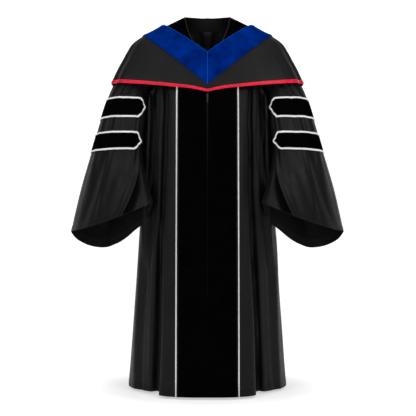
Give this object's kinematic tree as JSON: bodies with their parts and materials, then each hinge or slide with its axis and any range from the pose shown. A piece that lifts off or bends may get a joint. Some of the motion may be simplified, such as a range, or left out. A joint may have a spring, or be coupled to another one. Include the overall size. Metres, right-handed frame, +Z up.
{
  "type": "doctoral graduation gown with hood cape",
  "caption": "Full-length black graduation gown, zipped in front, with velvet bands, barred bell sleeves, white braid and a blue-banded hood cape.",
  "frame": {"origin": "midway between the two shoulders, at the height of the shoulders, where the gown hangs from its wearer", "axes": "+Z up along the gown's length, from the hem to the shoulders; -Y towards the gown's front; +X towards the wearer's left"},
  "size_m": [0.9884, 0.4638, 1.3724],
  "materials": {
    "gown_cloth": "matt black woven polyester",
    "black_velvet": "short black velvet pile",
    "blue_velvet": "short royal blue velvet pile",
    "red_satin": "glossy red satin",
    "white_braid": "twisted white cord",
    "zip_tape": "grey woven tape with moulded teeth",
    "dark_metal": "dark nickel plated metal"
  },
  "bodies": {
    "gown": {"front_left": "gown_cloth", "front_right": "gown_cloth", "velvet_band_left": "black_velvet", "velvet_band_right": "black_velvet", "front_braid_left": "white_braid", "front_braid_right": "white_braid", "sleeve_left": "gown_cloth", "sleeve_right": "gown_cloth", "sleeve_bar_upper_left": "black_velvet", "sleeve_bar_upper_right": "black_velvet", "sleeve_bar_lower_left": "black_velvet", "sleeve_bar_lower_right": "black_velvet", "bar_braid_upper_left": "white_braid", "bar_braid_upper_right": "white_braid", "bar_braid_lower_left": "white_braid", "bar_braid_lower_right": "white_braid", "hood_cape_left": "gown_cloth", "hood_cape_right": "gown_cloth", "hood_band_left": "blue_velvet", "hood_band_right": "blue_velvet", "hood_binding_left": "red_satin", "hood_binding_right": "red_satin", "back": "gown_cloth", "yoke": "gown_cloth", "neck_binding": "gown_cloth", "zip": "zip_tape", "zip_slider": "dark_metal"},
    "zip_pull": {"zip_pull": "dark_metal"}
  },
  "joints": [
    {"name": "zip_pull_hinge", "type": "hinge", "parent": "gown", "child": "zip_pull", "pos_m": [0, -0.13478, -0.2886], "axis": [-1, 0, 0], "range_deg": [0, 85]}
  ]
}
